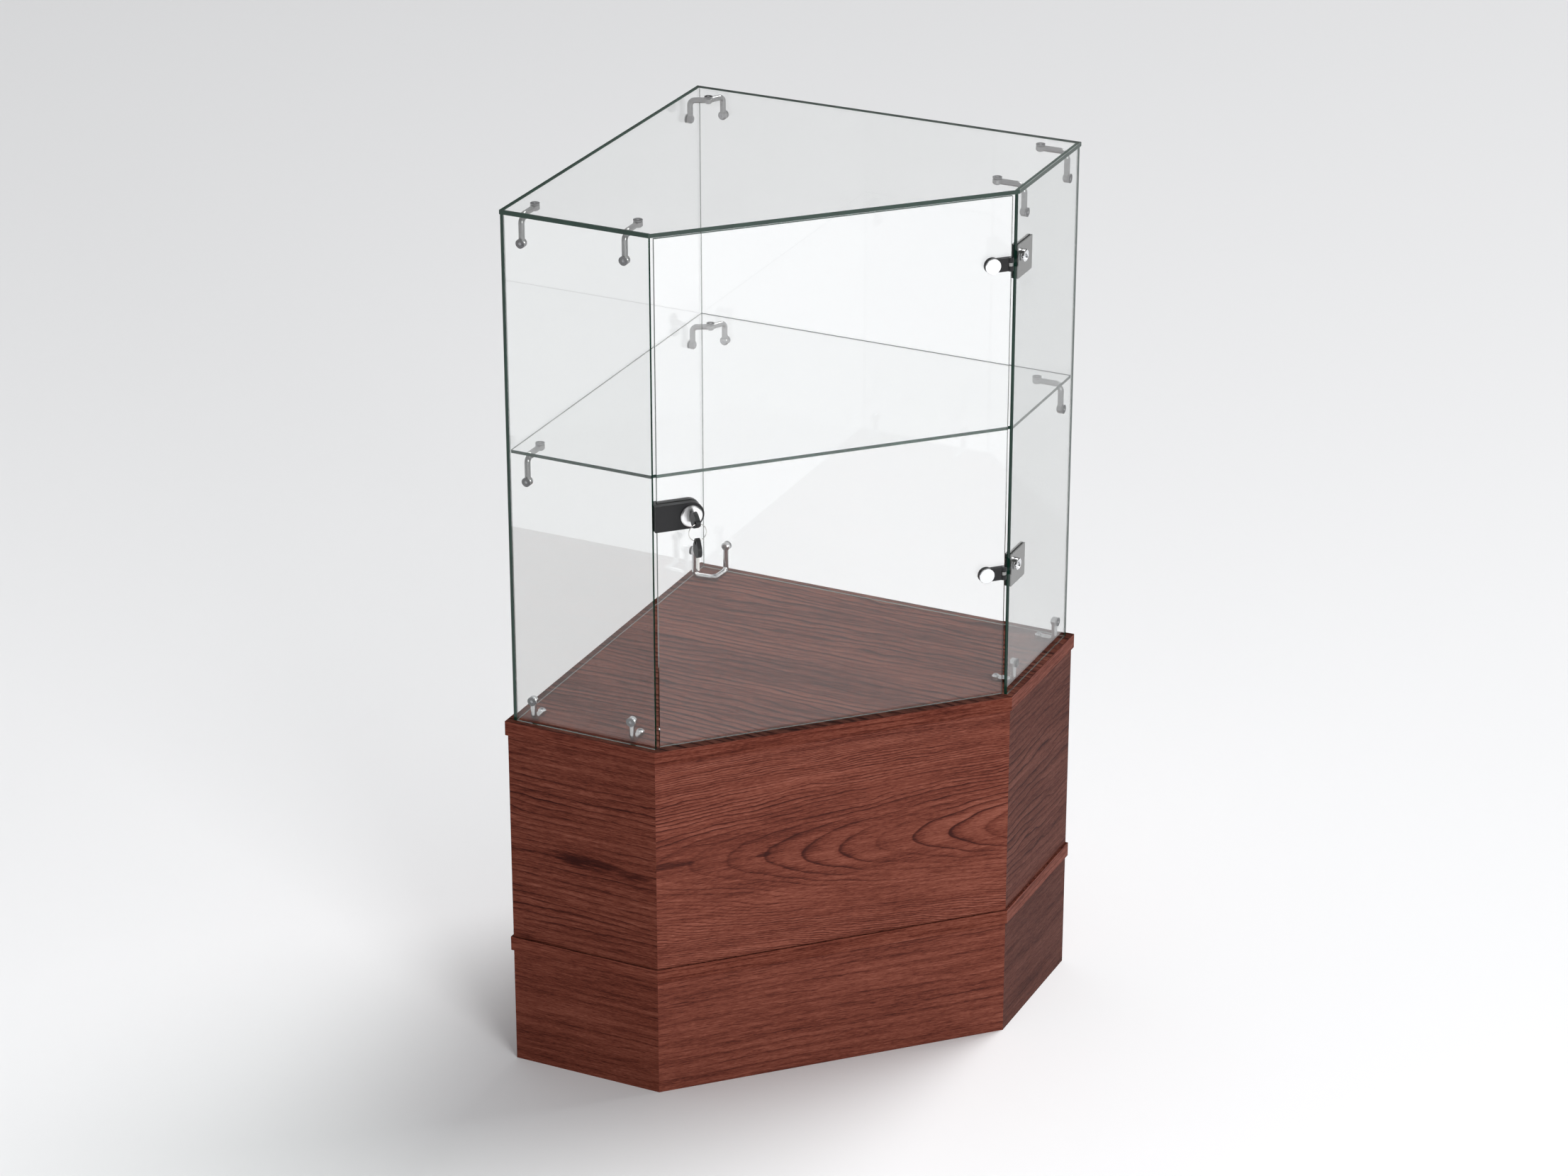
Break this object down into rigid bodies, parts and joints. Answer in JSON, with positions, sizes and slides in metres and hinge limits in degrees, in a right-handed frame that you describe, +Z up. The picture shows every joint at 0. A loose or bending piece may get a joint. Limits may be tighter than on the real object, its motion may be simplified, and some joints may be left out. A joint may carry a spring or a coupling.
{
  "type": "corner display cabinet",
  "caption": "Five-sided corner display case: wood plinth and base, frameless glass walls, top and shelf on rod connectors, and a locking glass door on clamp hinges.",
  "frame": {"origin": "On the floor, under the middle of the whole object box, with the keys in the lock.", "axes": "+X to the viewer's right as the door is faced, +Y towards the room corner, +Z up. The door faces -Y."},
  "size_m": [0.727, 0.5344, 1.091],
  "materials": {
    "laminate": "satin wood-grain laminate",
    "edge_laminate": "satin wood-grain edge band",
    "raw_wood": "bare wood",
    "clear_glass": "clear float glass with green edges",
    "rod_chrome": "satin chrome",
    "plate_steel": "brushed",
    "cap_chrome": "polished",
    "screw_steel": "zinc plated",
    "black_metal": "black, satin",
    "gasket": "matte",
    "key_grip": "black, matte"
  },
  "bodies": {
    "case": {"plinth_front_panel": "laminate", "plinth_left_panel": "laminate", "plinth_right_panel": "laminate", "plinth_back_left_panel": "laminate", "plinth_back_right_panel": "laminate", "deck_board": "laminate", "deck_edge_band": "edge_laminate", "cabinet_front_panel": "laminate", "cabinet_left_panel": "laminate", "cabinet_right_panel": "laminate", "cabinet_back_left_panel": "laminate", "cabinet_back_right_panel": "laminate", "worktop_board": "laminate", "worktop_edge_band": "edge_laminate", "plinth_glue_blocks": "raw_wood", "cabinet_glue_blocks": "raw_wood", "board_dowels": "raw_wood", "top_glass": "clear_glass", "back_left_glass": "clear_glass", "back_right_glass": "clear_glass", "left_side_glass": "clear_glass", "right_side_glass": "clear_glass", "shelf_glass": "clear_glass", "top_left_connectors": "rod_chrome", "top_right_connectors": "rod_chrome", "top_back_connector": "rod_chrome", "shelf_left_connector": "rod_chrome", "shelf_right_connector": "rod_chrome", "shelf_back_connector": "rod_chrome", "base_left_connectors": "rod_chrome", "base_right_connectors": "rod_chrome", "base_back_connector": "rod_chrome", "connector_pads": "rod_chrome", "connector_screws": "screw_steel", "connector_wood_screws": "screw_steel", "upper_hinge_outer_plate": "plate_steel", "upper_hinge_inner_plate": "plate_steel", "lower_hinge_outer_plate": "plate_steel", "lower_hinge_inner_plate": "plate_steel", "hinge_gaskets": "gasket", "hinge_bolts": "cap_chrome"},
    "door": {"door_glass": "clear_glass", "upper_hinge_arm": "black_metal", "lower_hinge_arm": "black_metal", "hinge_pins": "screw_steel", "hinge_caps": "cap_chrome", "hinge_clamp_discs": "cap_chrome", "hinge_clamp_screws": "screw_steel", "lock_housing": "black_metal", "lock_cover": "black_metal", "lock_screws": "screw_steel", "lock_cylinder": "cap_chrome"},
    "lock_plug": {"lock_plug": "cap_chrome"},
    "lock_bolt": {"lock_bolt": "screw_steel"},
    "key": {"key_head": "key_grip", "key_blade": "screw_steel"},
    "key_ring": {"key_ring": "screw_steel"},
    "spare_key": {"spare_key_head": "key_grip", "spare_key_blade": "screw_steel"}
  },
  "joints": [
    {"name": "door_swing", "type": "hinge", "parent": "case", "child": "door", "pos_m": [0.21117, -0.23175, 0.81075], "axis": [0, 0, 1], "range_deg": [0, 105]},
    {"name": "plug_turn", "type": "hinge", "parent": "door", "child": "lock_plug", "pos_m": [-0.17617, -0.22785, 0.749], "axis": [0, -1, 0], "range_deg": [0, 90]},
    {"name": "bolt_throw", "type": "slide", "parent": "door", "child": "lock_bolt", "axis": [-1, 0, 0], "range_m": [0, 0.005]},
    {"name": "key_slide", "type": "slide", "parent": "lock_plug", "child": "key", "axis": [0, -1, 0], "range_m": [0, 0.024]},
    {"name": "ring_swing", "type": "hinge", "parent": "key", "child": "key_ring", "pos_m": [-0.17617, -0.25775, 0.7476], "axis": [1, 0, 0], "range_deg": [-70, 8]},
    {"name": "spare_swing", "type": "hinge", "parent": "key_ring", "child": "spare_key", "pos_m": [-0.17617, -0.25775, 0.7266], "axis": [1, 0, 0], "range_deg": [-70, 12]}
  ],
  "couplings": [
    {"joint": "bolt_throw", "follows": "plug_turn", "m_per_rad": 0.0031831}
  ]
}
